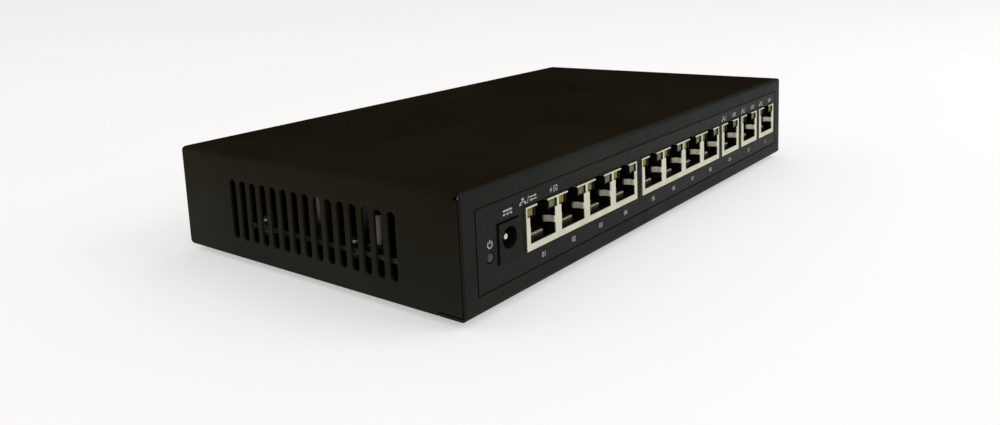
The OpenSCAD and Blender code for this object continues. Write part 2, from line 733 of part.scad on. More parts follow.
// Rows of small ceramic parts beside the chips
module chip_capacitors() color([0.62, 0.52, 0.38]) in_case() {
    for (j = JACKS, x = ports_of(j), s = [-2, 2])
        block(j[1] + x + s, jack_back + 3, board_z, 1.6, 0.9, 0.7);
    for (s = [-1, 1], i = [0:5]) block(chip[0] + s * 18.5, chip[1] - 10 + 4 * i, board_z, 0.9, 1.7, 0.8);
    for (p = [pse_a, pse_b], i = [0:3]) block(p[0] - 4.5 + 3 * i, p[1] + 8, board_z, 0.9, 1.7, 0.8);
}

// ---- Nodes ---------------------------------------------------------------------------------

far_x = case_w - foot_inset;
far_y = case_d - foot_inset;
base_chassis();
top_cover();
front_label();
cover_screws();
foot(foot_inset, foot_inset);  // foot_front_left
foot(far_x, foot_inset);  // foot_front_right
foot(foot_inset, far_y);  // foot_rear_left
foot(far_x, far_y);  // foot_rear_right
board_standoffs();
board_screws();
main_board();
jack_shield("a");  // jack_shield_a
jack_shield("b");  // jack_shield_b
jack_shield("9");  // jack_shield_9
jack_shield("10");  // jack_shield_10
jack_shield("11");  // jack_shield_11
jack_housing("a");  // jack_housing_a
jack_housing("b");  // jack_housing_b
jack_housing("9");  // jack_housing_9
jack_housing("10");  // jack_housing_10
jack_housing("11");  // jack_housing_11
jack_contacts("a");  // jack_contacts_a
jack_contacts("b");  // jack_contacts_b
jack_contacts("9");  // jack_contacts_9
jack_contacts("10");  // jack_contacts_10
jack_contacts("11");  // jack_contacts_11
link_lamps();
power_lamps();
lamp_leads();
inlet_body();
inlet_pin_contact();
inlet_leaf_contact();
power_lamp();
power_lamp_leads();
magnetics("a");  // magnetics_a
magnetics("b");  // magnetics_b
magnetics("9");  // magnetics_9
magnetics("10");  // magnetics_10
magnetics("11");  // magnetics_11
magnetics_leads();
switch_chip();
switch_chip_leads();
heat_sink();
leadless_chip(pse_a);  // power_controller_a
leadless_chip(pse_b);  // power_controller_b
leadless_chip(flash);  // flash_chip
clock_crystal();
choke_coil();
leadless_chip(fuse);  // input_fuse
leadless_chip(bridge);  // bridge_rectifier
leadless_chip(regulator);  // regulator_chip
capacitor_bases();
capacitor_cans();
chip_capacitors();
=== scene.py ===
from math import cos, pi, radians, sin

import bmesh
import bpy
from bpy.props import FloatProperty, FloatVectorProperty, IntProperty, PointerProperty
from mathutils import Matrix, Vector


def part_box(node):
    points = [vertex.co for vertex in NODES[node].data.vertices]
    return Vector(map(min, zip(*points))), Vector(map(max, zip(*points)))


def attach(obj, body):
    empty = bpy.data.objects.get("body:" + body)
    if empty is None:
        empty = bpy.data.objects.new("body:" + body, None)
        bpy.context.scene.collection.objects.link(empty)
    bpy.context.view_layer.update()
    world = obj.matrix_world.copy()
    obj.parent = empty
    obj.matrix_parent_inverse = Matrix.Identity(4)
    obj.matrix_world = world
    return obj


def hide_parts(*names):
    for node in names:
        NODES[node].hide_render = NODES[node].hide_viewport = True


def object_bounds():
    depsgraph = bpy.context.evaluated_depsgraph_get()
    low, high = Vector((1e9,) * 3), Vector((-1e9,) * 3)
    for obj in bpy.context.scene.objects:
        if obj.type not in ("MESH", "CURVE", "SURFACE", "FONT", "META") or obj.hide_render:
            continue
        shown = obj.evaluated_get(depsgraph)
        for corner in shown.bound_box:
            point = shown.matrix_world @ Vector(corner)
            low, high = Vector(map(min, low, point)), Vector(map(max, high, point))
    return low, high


bl_info = {
    "name": "Desktop Network Switch Maker",
    "version": (1, 0, 0),
    "blender": (4, 5, 0),
    "location": "3D View > Sidebar > Switch",
    "description": "Finishes a folded-steel network switch around its CAD frame",
    "category": "Object",
}

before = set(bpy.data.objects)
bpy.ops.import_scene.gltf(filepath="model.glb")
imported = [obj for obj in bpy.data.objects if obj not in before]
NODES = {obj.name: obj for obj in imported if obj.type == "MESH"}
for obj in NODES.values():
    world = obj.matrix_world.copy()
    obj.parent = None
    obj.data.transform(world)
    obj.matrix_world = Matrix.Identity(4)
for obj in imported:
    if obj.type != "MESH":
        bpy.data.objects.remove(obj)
CAD_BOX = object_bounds()
CAD_MIDDLE = (Vector(CAD_BOX[0]) + Vector(CAD_BOX[1])) / 2
MM = 0.001
JACKS = ("a", "b", "9", "10", "11")
GANG_PORTS = 4


def from_hex(code):
    """The linear RGB of an sRGB hex colour."""
    parts = [int(code[i : i + 2], 16) / 255 for i in (1, 3, 5)]
    return [c / 12.92 if c <= 0.04045 else ((c + 0.055) / 1.055) ** 2.4 for c in parts]


def colour(name, description, code):
    return FloatVectorProperty(
        name=name, description=description, subtype="COLOR", size=3, min=0, max=1, default=from_hex(code)
    )


def length(name, description, millimetres):
    return FloatProperty(name=name, description=description, unit="LENGTH", default=millimetres * MM)


def share(name, description, value):
    return FloatProperty(name=name, description=description, min=0, max=1, default=value)


def angle(name, description, degrees):
    return FloatProperty(name=name, description=description, subtype="ANGLE", default=radians(degrees))


def power(name, description, watts):
    return FloatProperty(name=name, description=description, unit="POWER", default=watts)


def grey(level):
    return (level, level, level, 1)


# ---- Where things are, from the frame ------------------------------------------------------


def middle(node):
    low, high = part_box(node)
    return (low + high) / 2


def port_places():
    """The middle x of every port, from left to right."""
    places = []
    for jack in JACKS:
        low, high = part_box("jack_shield_" + jack)
        count = GANG_PORTS if jack in ("a", "b") else 1
        step = (high.x - low.x) / count
        places += [low.x + step * (i + 0.5) for i in range(count)]
    return places


# ---- Nodes and materials -------------------------------------------------------------------


def add(tree, kind, inputs=None, **settings):
    """Adds a node to a tree, sets its properties, and fills or links its inputs."""
    made = tree.nodes.new(kind)
    for name, value in settings.items():
        setattr(made, name, value)
    for key, value in (inputs or {}).items():
        if isinstance(value, bpy.types.NodeSocket):
            tree.links.new(value, made.inputs[key])
        else:
            made.inputs[key].default_value = value
    return made


class Surface:
    """A material with one shader, and the object coordinates that its patterns read."""

    def __init__(self, name, **constants):
        self.material = bpy.data.materials.new(name)
        self.material.use_nodes = True
        self.tree = self.material.node_tree
        self.tree.nodes.clear()
        self.shader = add(self.tree, "ShaderNodeBsdfPrincipled")
        add(self.tree, "ShaderNodeOutputMaterial", {"Surface": self.shader.outputs[0]})
        self.place = add(self.tree, "ShaderNodeTexCoord").outputs["Object"]
        for key, value in constants.items():
            self.shader.inputs[key.replace("_", " ")].default_value = value

    def noise(self, size_mm, detail=2.0, stretch=(1, 1, 1)):
        """Noise whose features are about size_mm across, longer along an axis with a small stretch."""
        place = add(self.tree, "ShaderNodeMapping", {"Vector": self.place, "Scale": stretch}).outputs[0]
        scale = 1 / (size_mm * MM)
        inputs = {"Vector": place, "Scale": scale, "Detail": detail}
        return add(self.tree, "ShaderNodeTexNoise", inputs).outputs["Fac"]

    def pebbles(self, size_mm):
        """Rounded grains about size_mm across."""
        inputs = {"Vector": self.place, "Scale": 1 / (size_mm * MM)}
        return add(self.tree, "ShaderNodeTexVoronoi", inputs, feature="SMOOTH_F1").outputs["Distance"]

    def ramp(self, factor, low, high, start=0.3, end=0.7):
        """Blends from one value or colour to another as the factor goes from start to end."""
        made = add(self.tree, "ShaderNodeValToRGB", {"Fac": factor})
        for stop, place, value in zip(made.color_ramp.elements, (start, end), (low, high)):
            stop.position = place
            stop.color = (*value, 1) if hasattr(value, "__len__") else (value, value, value, 1)
        return made.outputs["Color"]

    def along(self, axis, start, end):
        """Goes from 0 to 1 along an axis, from one place to another in metres."""
        parts = add(self.tree, "ShaderNodeSeparateXYZ", {0: self.place})
        inputs = {"Value": parts.outputs[axis], "From Min": start, "From Max": end}
        return add(self.tree, "ShaderNodeMapRange", inputs).outputs[0]

    def shaded(self, tint, shade):
        """A colour pattern multiplied by a second pattern."""
        return add(self.tree, "ShaderNodeVectorMath", {0: tint, 1: shade}, operation="MULTIPLY").outputs[0]

    def use(self, **links):
        """Links patterns to the shader's sockets."""
        for key, socket in links.items():
            self.tree.links.new(socket, self.shader.inputs[key.replace("_", " ")])

    def relief(self, height, depth_mm, strength=1.0, under=None):
        """Turns a height pattern into relief on the shader, over an earlier relief if there is one."""
        inputs = {"Height": height, "Distance": depth_mm * MM, "Strength": strength}
        if under is not None:
            inputs["Normal"] = under
        bump = add(self.tree, "ShaderNodeBump", inputs).outputs[0]
        self.tree.links.new(bump, self.shader.inputs["Normal"])
        return bump


def scaled(rgb, amount):
    return [c * amount for c in rgb]


def powder_coat(name, rgb, painted_reflection_rgb, sheen):
    # Baked epoxy-polyester powder on steel: a dull satin black with a fine pebbled skin. Painted light:
    # the colour ramps from a paler, more neutral tone low on the sides, a painted reflection of the floor,
    # to brown at the top. The grains are about 0.2 mm on the real thing and are drawn at 0.7 mm so that
    # they show at all.
    made = Surface(name, IOR=1.5, Specular_IOR_Level=sheen)
    patches = made.noise(38, 3)
    grain = made.pebbles(0.7)
    # Painted light: height up the object, from the painted floor reflection at the bottom to the paint's own
    # colour at the top
    height = made.along("Z", CAD_BOX[0][2], CAD_BOX[1][2])
    made.use(
        Base_Color=made.shaded(made.ramp(height, painted_reflection_rgb, rgb, 0, 1), made.ramp(patches, 0.86, 1.14)),
        Roughness=made.ramp(made.noise(6, 4), 0.47, 0.58),
    )
    skin = made.relief(grain, 0.05, 0.45)
    made.relief(made.noise(14, 2), 0.06, 0.25, under=skin)
    return made.material


def velvet_film(rgb):
    # Polycarbonate overlay with a fine velvet texture, printed dark grey: a little smoother and more
    # even than the paint around it.
    made = Surface("PolycarbonateOverlay", IOR=1.58, Specular_IOR_Level=0.07)
    made.use(
        Base_Color=made.ramp(made.noise(26, 2), scaled(rgb, 0.95), scaled(rgb, 1.05)),
        Roughness=made.ramp(made.noise(1.4, 3), 0.42, 0.5),
    )
    made.relief(made.noise(0.5, 1), 0.015, 0.4)
    return made.material


def screen_ink(rgb):
    # Screen-printed ink: a thin flat light grey that covers unevenly at a close look.
    made = Surface("ScreenPrintedInk", Roughness=0.6)
    made.use(Base_Color=made.ramp(made.noise(0.5, 3), scaled(rgb, 0.82), rgb))
    return made.material


def tinned_sheet(rgb):
    # Tin-plated brass sheet, stamped: pale, soft-edged reflections with faint rolling lines along X
    # and small duller patches where it was handled.
    made = Surface("TinPlatedBrass", Metallic=1.0)
    lines = made.noise(0.6, 3, stretch=(0.05, 1, 1))
    handled = made.noise(5, 3)
    made.use(
        Base_Color=made.ramp(handled, scaled(rgb, 0.9), rgb),
        Roughness=made.ramp(handled, 0.5, 0.36),
    )
    made.relief(lines, 0.012, 0.35)
    return made.material


def moulded_plastic(name, rgb, roughness=0.42, sheen=0.08):
    # Glass-filled nylon as it left the mould: deep black, faintly sparkled and slightly uneven in gloss.
    made = Surface(name, IOR=1.53, Specular_IOR_Level=sheen)
    made.use(
        Base_Color=made.ramp(made.noise(3, 3), scaled(rgb, 0.8), scaled(rgb, 1.2)),
        Roughness=made.ramp(made.noise(1.2, 3), roughness - 0.06, roughness + 0.08),
    )
    made.relief(made.noise(0.35, 2), 0.01, 0.4)
    return made.material


def plated_metal(name, rgb, roughness):
    # A thin bright plating over drawn wire or stamped strip, with faint draw marks.
    made = Surface(name, Metallic=1.0)
    made.use(
        Base_Color=made.ramp(made.noise(1.5, 3), scaled(rgb, 0.86), rgb),
        Roughness=made.ramp(made.noise(0.8, 2, stretch=(1, 0.15, 1)), roughness - 0.06, roughness + 0.1),
    )
    made.relief(made.noise(0.3, 2, stretch=(1, 0.1, 1)), 0.006, 0.4)
    return made.material


def painted_glint_spring(rgb, painted_shade_rgb, bend_y, bend_z):
    # Phosphor bronze spring wire with painted light: a painted near-white highlight on the bend that meets
    # the plug's contacts first, and painted shade, a dark brown, on the length behind and below it.
    made = Surface("FlashedPhosphorBronze", Metallic=0.3)
    worn = made.noise(0.6, 3)
    # Painted light: a painted highlight on the bend, and painted shade on the wire behind and below it
    behind = made.along("Y", bend_y + 0.35 * MM, bend_y + 0.6 * MM)
    above = made.along("Z", bend_z - 0.5 * MM, bend_z - 0.3 * MM)
    glint = made.shaded(made.ramp(behind, rgb, painted_shade_rgb, 0, 1), made.ramp(above, 0.1, 1.0, 0, 1))
    made.use(
        Base_Color=made.shaded(glint, made.ramp(worn, 0.85, 1.0)),
        Roughness=made.ramp(worn, 0.42, 0.3),
    )
    made.relief(made.noise(0.3, 2, stretch=(1, 0.1, 1)), 0.006, 0.4)
    return made.material


def milky_lens(name, rgb):
    # Polycarbonate light pipe, unlit: milky with the colour of its diode, clear enough at its face to
    # look deep.
    made = Surface(name, IOR=1.58, Specular_IOR_Level=0.2, Subsurface_Weight=0.35, Subsurface_Scale=1.2 * MM)
    made.shader.inputs["Coat Weight"].default_value = 0.05
    made.shader.inputs["Coat Roughness"].default_value = 0.12
    made.use(
        Base_Color=made.ramp(made.noise(1.6, 2), scaled(rgb, 0.78), rgb),
        Roughness=made.ramp(made.noise(0.9, 2), 0.24, 0.34),
    )
    made.relief(made.noise(0.8, 1), 0.01, 0.3)
    return made.material


def moulded_rubber(rgb):
    # Moulded nitrile foot: dead black with a chalky bloom in patches.
    made = Surface("MouldedRubber", IOR=1.52, Specular_IOR_Level=0.35)
    bloom = made.noise(3, 4)
    made.use(
        Base_Color=made.ramp(bloom, rgb, scaled(rgb, 2.2), 0.45, 0.8),
        Roughness=made.ramp(bloom, 0.75, 0.92),
    )
    made.relief(made.noise(0.4, 3), 0.03, 0.5)
    return made.material


def solder_mask(rgb):
    # Green solder mask on glass epoxy: glossy, with copper tracks a fraction of a millimetre wide
    # showing through as a lighter green.
    made = Surface("SolderMask", IOR=1.54, Specular_IOR_Level=0.2)
    made.shader.inputs["Coat Weight"].default_value = 0.15
    made.shader.inputs["Coat Roughness"].default_value = 0.15
    inputs = {
        "Vector": made.place, "Color1": (0, 0, 0, 1), "Color2": (0, 0, 0, 1), "Mortar": (1, 1, 1, 1),
        "Scale": 1.0, "Mortar Size": 0.22 * MM, "Brick Width": 5.5 * MM, "Row Height": 1.1 * MM,
    }
    tracks = add(made.tree, "ShaderNodeTexBrick", inputs, offset=0.37, squash=1.0).outputs["Fac"]
    made.use(
        Base_Color=made.ramp(tracks, rgb, scaled(rgb, 1.9), 0.2, 0.8),
        Roughness=made.ramp(made.noise(4, 2), 0.3, 0.42),
    )
    made.relief(tracks, 0.03, 0.5)
    return made.material


def cast_epoxy(rgb):
    # Epoxy moulding compound of chips and magnetics: matt charcoal with a sanded feel.
    made = Surface("EpoxyMoulding", IOR=1.55)
    made.use(
        Base_Color=made.ramp(made.noise(2.5, 4), scaled(rgb, 0.8), scaled(rgb, 1.25)),
        Roughness=made.ramp(made.noise(1, 3), 0.55, 0.7),
    )
    made.relief(made.noise(0.3, 3), 0.015, 0.5)
    return made.material


def black_anodising(rgb):
    # Extruded aluminium, black anodised: charcoal with a soft metallic sheen and fine extrusion lines.
    made = Surface("BlackAnodisedAluminium", Metallic=0.75)
    made.use(
        Base_Color=made.ramp(made.noise(4, 2), scaled(rgb, 0.85), scaled(rgb, 1.15)),
        Roughness=made.ramp(made.noise(0.6, 3, stretch=(1, 0.05, 1)), 0.36, 0.52),
    )
    made.relief(made.noise(0.35, 2, stretch=(1, 0.04, 1)), 0.02, 0.5)
    return made.material


def etched_aluminium(rgb):
    # Drawn aluminium can of a capacitor: pale grey, satin, with fine vertical draw lines.
    made = Surface("DrawnAluminium", Metallic=0.9)
    made.use(
        Base_Color=made.ramp(made.noise(2.5, 3), scaled(rgb, 0.85), rgb),
        Roughness=made.ramp(made.noise(0.5, 3, stretch=(1, 1, 0.08)), 0.34, 0.5),
    )
    made.relief(made.noise(0.4, 2, stretch=(1, 1, 0.06)), 0.012, 0.5)
    return made.material


def fired_ceramic(name, rgb):
    # Small fired ceramic bodies: tan or white, slightly glazed, with a few darker specks.
    made = Surface(name, IOR=1.6)
    made.use(
        Base_Color=made.ramp(made.noise(0.7, 4), scaled(rgb, 0.7), rgb, 0.3, 0.55),
        Roughness=made.ramp(made.noise(0.9, 2), 0.3, 0.45),
    )
    made.relief(made.noise(0.3, 2), 0.01, 0.4)
    return made.material


def wear(node, material):
    """Gives a CAD node its finish."""
    data = NODES[node].data
    data.materials.clear()
    data.materials.append(material)


# ---- Making meshes -------------------------------------------------------------------------


def context_graph():
    return bpy.context.evaluated_depsgraph_get()


def new_piece(name, mesh):
    piece = bpy.data.objects.new(name, mesh)
    bpy.context.scene.collection.objects.link(piece)
    return piece


def from_bmesh(name, bm):
    mesh = bpy.data.meshes.new(name)
    bm.to_mesh(mesh)
    bm.free()
    return new_piece(name, mesh)


def settled(piece, material):
    """The piece with its modifiers worked into a plain mesh of one material."""
    result = bpy.data.meshes.new_from_object(piece.evaluated_get(context_graph()))
    piece.modifiers.clear()
    old = piece.data
    piece.data = result
    bpy.data.meshes.remove(old)
    result.name = piece.name
    result.materials.clear()
    result.materials.append(material)
    return piece


def hand_over(piece, slot, *nodes):
    """Rides the piece on the object and lets it stand for CAD nodes. The slot is not used."""
    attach(piece, "root")
    if nodes:
        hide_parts(*nodes)
    return piece


def softened(node, name, edge, material, slot, sharp=35):
    """A copy of a CAD node whose sharp edges are rounded, which stands for the node."""
    bm = bmesh.new()
    bm.from_mesh(NODES[node].data)
    bmesh.ops.remove_doubles(bm, verts=bm.verts, dist=0.5e-6)
    bmesh.ops.dissolve_limit(bm, angle_limit=radians(0.5), verts=bm.verts, edges=bm.edges)
    piece = from_bmesh(name, bm)
    bevel = piece.modifiers.new("edges", "BEVEL")
    bevel.width = edge
    bevel.segments = 2
    bevel.limit_method = "ANGLE"
    bevel.angle_limit = radians(sharp)
    bevel.use_clamp_overlap = True
    piece.data.shade_smooth()
    even = piece.modifiers.new("shading", "WEIGHTED_NORMAL")
    even.mode = "FACE_AREA"
    even.weight = 100
    settled(piece, material)
    return hand_over(piece, slot, node)


def lathe(profile, segments=40):
    """A closed mesh spun about Z from (radius, height) pairs in millimetres, listed from the bottom up."""
    bm = bmesh.new()
    rings = []
    for radius, height in profile:
        if radius == 0:
            rings.append([bm.verts.new((0, 0, height * MM))])
            continue
        turns = [2 * pi * i / segments for i in range(segments)]
        rings.append([bm.verts.new((radius * MM * cos(t), radius * MM * sin(t), height * MM)) for t in turns])
    for low, high in zip(rings, rings[1:]):
        for i in range(segments):
            j = (i + 1) % segments
            corners = [low[i % len(low)], low[j % len(low)], high[j % len(high)], high[i % len(high)]]
            bm.faces.new(list(dict.fromkeys(corners)))
    bmesh.ops.recalc_face_normals(bm, faces=bm.faces)
    return bm


def repeat_tree(name):
    """Geometry nodes that put a shape at every point as real mesh."""
    tree = bpy.data.node_groups.new(name, "GeometryNodeTree")
    tree.interface.new_socket("Points", in_out="INPUT", socket_type="NodeSocketGeometry")
    tree.interface.new_socket("Shape", in_out="INPUT", socket_type="NodeSocketObject")
    tree.interface.new_socket("Finish", in_out="INPUT", socket_type="NodeSocketMaterial")
    tree.interface.new_socket("Geometry", in_out="OUTPUT", socket_type="NodeSocketGeometry")
    start = add(tree, "NodeGroupInput")
    shape = add(tree, "GeometryNodeObjectInfo", {"Object": start.outputs["Shape"]})
    inputs = {"Points": start.outputs["Points"], "Instance": shape.outputs["Geometry"]}
    copies = add(tree, "GeometryNodeInstanceOnPoints", inputs)
    real = add(tree, "GeometryNodeRealizeInstances", {"Geometry": copies.outputs[0]})
    finish = add(
        tree, "GeometryNodeSetMaterial", {"Geometry": real.outputs[0], "Material": start.outputs["Finish"]}
    )
    add(tree, "NodeGroupOutput", {0: finish.outputs[0]})
    return tree


def repeated(name, shape, places, material, smooth=True):
    """One mesh that holds a copy of the shape at each place."""
    mesh = bpy.data.meshes.new(name)
    mesh.from_pydata([Vector(p) for p in places], [], [])
    piece = new_piece(name, mesh)
    tree = repeat_tree(name + "_rule")
    sockets = {s.name: s.identifier for s in tree.interface.items_tree if s.in_out == "INPUT"}
    modifier = piece.modifiers.new("copies", "NODES")
    modifier.node_group = tree
    modifier[sockets["Shape"]] = shape
    modifier[sockets["Finish"]] = material
    settled(piece, material)
    bpy.data.objects.remove(shape)
    if smooth:
        piece.data.shade_smooth()
        piece.data.set_sharp_from_angle(angle=radians(35))
    return piece


def slab(bm, outline, y, thickness):
    """Adds a thin closed slab to a bmesh, from an outline of (x, z) pairs, its front at y - thickness."""
    back = [bm.verts.new((x, y, z)) for x, z in outline]
    front = [bm.verts.new((x, y - thickness, z)) for x, z in outline]
    faces = [bm.faces.new(front), bm.faces.new(list(reversed(back)))]
    for i in range(len(outline)):
        j = (i + 1) % len(outline)
        faces.append(bm.faces.new([back[i], back[j], front[j], front[i]]))
    bmesh.ops.recalc_face_normals(bm, faces=faces)


# ---- Printed marks: outlines in millimetres about their own middle --------------------------


def bar(x0, z0, x1, z1):
    return [(x0, z0), (x1, z0), (x1, z1), (x0, z1)]


def arc_band(radius, width, start, end, steps=20):
    """A band along part of a circle, with its angles in degrees."""
    turns = [radians(start + (end - start) * i / steps) for i in range(steps + 1)]
    outer, inner = radius + width / 2, radius - width / 2
    ring = [(outer * cos(t), outer * sin(t)) for t in turns]
    return ring + [(inner * cos(t), inner * sin(t)) for t in reversed(turns)]


def arrow(direction, z):
    """A small arrow along X at height z."""
    tip, neck, tail = 1.7 * direction, 0.8 * direction, -1.7 * direction
    return [
        (tip, z), (neck, z + 0.45), (neck, z + 0.17), (tail, z + 0.17),
        (tail, z - 0.17), (neck, z - 0.17), (neck, z - 0.45),
    ]


# A digit's height as a share of the font's size
DIGIT_HEIGHT = 0.7

DIRECT_CURRENT_MARK = [bar(-2, 0.25, 2, 0.75)] + [bar(x, -0.75, x + 1, -0.25) for x in (-2, -0.5, 1)]
POWER_MARK = [arc_band(0.95, 0.34, 125, 415), bar(-0.17, 0.2, 0.17, 1.3)]
TRAFFIC_MARK = [arrow(1, 0.45), arrow(-1, -0.45)]
NETWORK_MARK = [
    bar(-0.55, 0.3, 0.55, 0.95), bar(-0.13, -0.03, 0.13, 0.3), bar(-1.25, -0.25, 1.25, -0.03),
    bar(-1.6, -0.95, -0.7, -0.4), bar(0.7, -0.95, 1.6, -0.4), bar(-1.28, -0.4, -1.02, -0.25),
    bar(1.02, -0.4, 1.28, -0.25),
]
BOLT_MARK = [[(0.45, 1), (-0.7, -0.2), (-0.08, -0.2), (-0.45, -1), (0.7, 0.2), (0.08, 0.2)]]
SOCKET_MARK = [
    bar(-0.95, -0.9, -0.7, 0.9), bar(0.7, -0.9, 0.95, 0.9), bar(-0.7, 0.65, 0.7, 0.9),
    bar(-0.7, -0.9, -0.35, -0.65), bar(0.35, -0.9, 0.7, -0.65), bar(-0.35, -0.4, 0.35, 0.1),
]
SLASH_MARK = [[(0.15, 1.05), (0.4, 1.05), (-0.15, -1.05), (-0.4, -1.05)]]


# ---- What a user would change --------------------------------------------------------------


class CaseLooks(bpy.types.PropertyGroup):
    """The folded case and its label."""

    cover: colour("Cover", "Powder coat of the top cover", "#20190c")
    # Painted reflection of the pale floor: the colour the cover's sides are painted towards the bottom
    cover_painted_reflection: colour("Cover, low", "Powder coat at the bottom of the cover's sides", "#262821")
    chassis: colour("Chassis", "Powder coat of the chassis and its front", "#1f201b")
    label: colour("Label", "Overlay on the front", "#181916")
    ink: colour("Ink", "Printed marks on the label", "#a8a9a3")
    rubber: colour("Rubber", "Feet", "#121212")
    screw: colour("Screws", "Blackened steel of the cover's screws", "#3a3a3b")
    cover_sheen: share("Cover sheen", "Specular level of the cover's paint", 0.03)
    chassis_sheen: share("Chassis sheen", "Specular level of the chassis's paint", 0.06)
    edge: length("Edge", "Rounding of the sheet's cut edges", 0.22)


class JackLooks(bpy.types.PropertyGroup):
    """The network jacks, the power inlet and the lamps."""

    shield: colour("Shield", "Tin plating of the jacks", "#dcdac6")
    plastic: colour("Plastic", "Black plastic inside the jacks", "#0d0c0b")
    inlet: colour("Inlet", "Black plastic of the power inlet", "#131312")
    # Painted light on the contacts: a painted highlight colour for their bends and a painted shade colour
    # behind them
    gold: colour("Gold", "Gold flash on the contacts' bends", "#fff6dc")
    bronze_in_shade: colour("Bronze", "The contacts behind their bends", "#2e2414")
    nickel: colour("Nickel", "Plating of the inlet's contacts", "#dcd8cd")
    left_lens: colour("Left lens", "Unlit lens on the left of a port", "#857c3a")
    right_lens: colour("Right lens", "Unlit lens on the right of a port", "#747c58")
    lamp: colour("Lamp", "Unlit power lamp", "#2f3533")
    spring_rise: length("Spring rise", "From a contact's bend up to its tip", 1.2)
    inlet_roughness: share("Inlet roughness", "Roughness of the power inlet's plastic", 0.4)
    inlet_sheen: share("Inlet sheen", "Specular level of the power inlet's plastic", 0.07)
    inlet_edge: length("Inlet edge", "Rounding of the power inlet's edges", 0.15)
    rib_count: IntProperty(name="Lens ribs", description="Fine ribs on a lens", default=5, min=0, max=12)
    edge: length("Edge", "Rounding of the shields' cut edges", 0.09)


class BoardLooks(bpy.types.PropertyGroup):
    """The board and what it carries."""

    mask: colour("Solder mask", "Colour of the board", "#050f0a")
    epoxy: colour("Epoxy", "Colour of the chips", "#1b1b1b")
    aluminium: colour("Aluminium", "Colour of the capacitor cans", "#77726d")
    anodised: colour("Heat sink", "Colour of the heat sink", "#2c2c2e")
    tin: colour("Tin", "Colour of leads and small screws", "#cfcfca")
    brass: colour("Brass", "Colour of the standoffs", "#6f684d")
    tan: colour("Tan ceramic", "Colour of the chip capacitors", "#a58a63")
    white: colour("White ceramic", "Colour of the input fuse", "#d9d6cc")


class PrintSizes(bpy.types.PropertyGroup):
    """The marks on the label."""

    number_height: length("Number height", "Height of a port's number", 1.5)
    number_drop: length("Number drop", "From the bottom of the jacks to the middle of the numbers", 3.2)
    number_shift: length("Number shift", "From a port's middle to the right, to its number's middle", 0.9)
    mark_rise: length("Mark rise", "From the top of the jacks to the middle of the marks", 2.2)
    bolder: length("Bolder", "Extra width on each side of the numbers' strokes", 0.02)
    ink_height: length("Ink height", "Thickness of the ink", 0.02)


class StageLooks(bpy.types.PropertyGroup):
    """Floor, lights and camera."""

    floor: colour("Floor", "Colour of the floor", "#f4f3f1")
    glow: share("Glow", "Share of the floor's light that comes from below", 0.5)
    bounce: share("Bounce", "How pale the floor is to diffuse light", 0.4)
    surround: share("Surround", "Strength of the even light all round", 0.97)
    overhead: share("Overhead", "What glossy faces see overhead", 0.03)
    key: power("Key light", "Soft light in front", 9.0)
    fill: power("Fill light", "Soft light from behind on the left", 1.2)
    eye: FloatVectorProperty(
        name="Eye", description="Where the camera stands", subtype="TRANSLATION", unit="LENGTH",
        size=3, default=(-0.2626, -0.1975, 0.0923),
    )
    heading: angle("Heading", "From +Y towards +X", 51.6)
    dip: angle("Dip", "How far the camera looks down", 9.16)
    roll: angle("Roll", "Turn about the line of sight", -2.45)
    lens: FloatProperty(
        name="Lens", description="Focal length in millimetres on a 36 mm sensor", default=30.47,
    )
    rise: FloatProperty(
        name="Rise", description="Shift of the lens, as a share of the width", default=-0.1131,
    )


# ---- Operators -----------------------------------------------------------------------------


class SwitchOperator(bpy.types.Operator):
    """Base of the switch's operators."""

    bl_options = {"REGISTER"}


class FinishCase(SwitchOperator):
    """Powder-coats the chassis and the cover, rounds their cut edges, and lays the label."""

    bl_idname = "network_switch.finish_case"
    bl_label = "Finish the case"

    def execute(self, context):
        looks = context.scene.switch_case
        # The cover gets painted light: a painted reflection of the floor low on its sides
        softened(
            "top_cover", "cover_shell", looks.edge,
            powder_coat("PowderCoatCover", looks.cover, looks.cover_painted_reflection, looks.cover_sheen), "case_paint",
        )
        softened(
            "base_chassis", "chassis_shell", looks.edge,
            powder_coat("PowderCoatChassis", looks.chassis, looks.chassis, looks.chassis_sheen), "case_paint",
        )
        wear("front_label", velvet_film(looks.label))
        return {"FINISHED"}


class FinishJacks(SwitchOperator):
    """Plates the shields and contacts, and finishes the plastic of the jacks and the inlet."""

    bl_idname = "network_switch.finish_jacks"
    bl_label = "Finish the jacks"

    def execute(self, context):
        looks = context.scene.switch_jacks
        tin = tinned_sheet(looks.shield)
        plastic = moulded_plastic("GlassFilledNylon", looks.plastic)
        low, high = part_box("jack_contacts_a")
        # The contacts get painted light: a painted highlight on their bends and painted shade behind and
        # below
        gold = painted_glint_spring(looks.gold, looks.bronze_in_shade, low.y, high.z - looks.spring_rise)
        nickel = plated_metal("NickelPlatedBrass", looks.nickel, 0.2)
        for jack in JACKS:
            softened("jack_shield_" + jack, "shield_" + jack, looks.edge, tin, "shield_tin", sharp=50)
            wear("jack_housing_" + jack, plastic)
            wear("jack_contacts_" + jack, gold)
        inlet = moulded_plastic("PolyamideInlet", looks.inlet, looks.inlet_roughness, looks.inlet_sheen)
        softened("inlet_body", "inlet_moulding", looks.inlet_edge, inlet, "inlet_plastic")
        for node in ("inlet_pin_contact", "inlet_leaf_contact"):
            wear(node, nickel)
        wear("power_lamp", milky_lens("MilkyPowerLamp", looks.lamp))
        return {"FINISHED"}


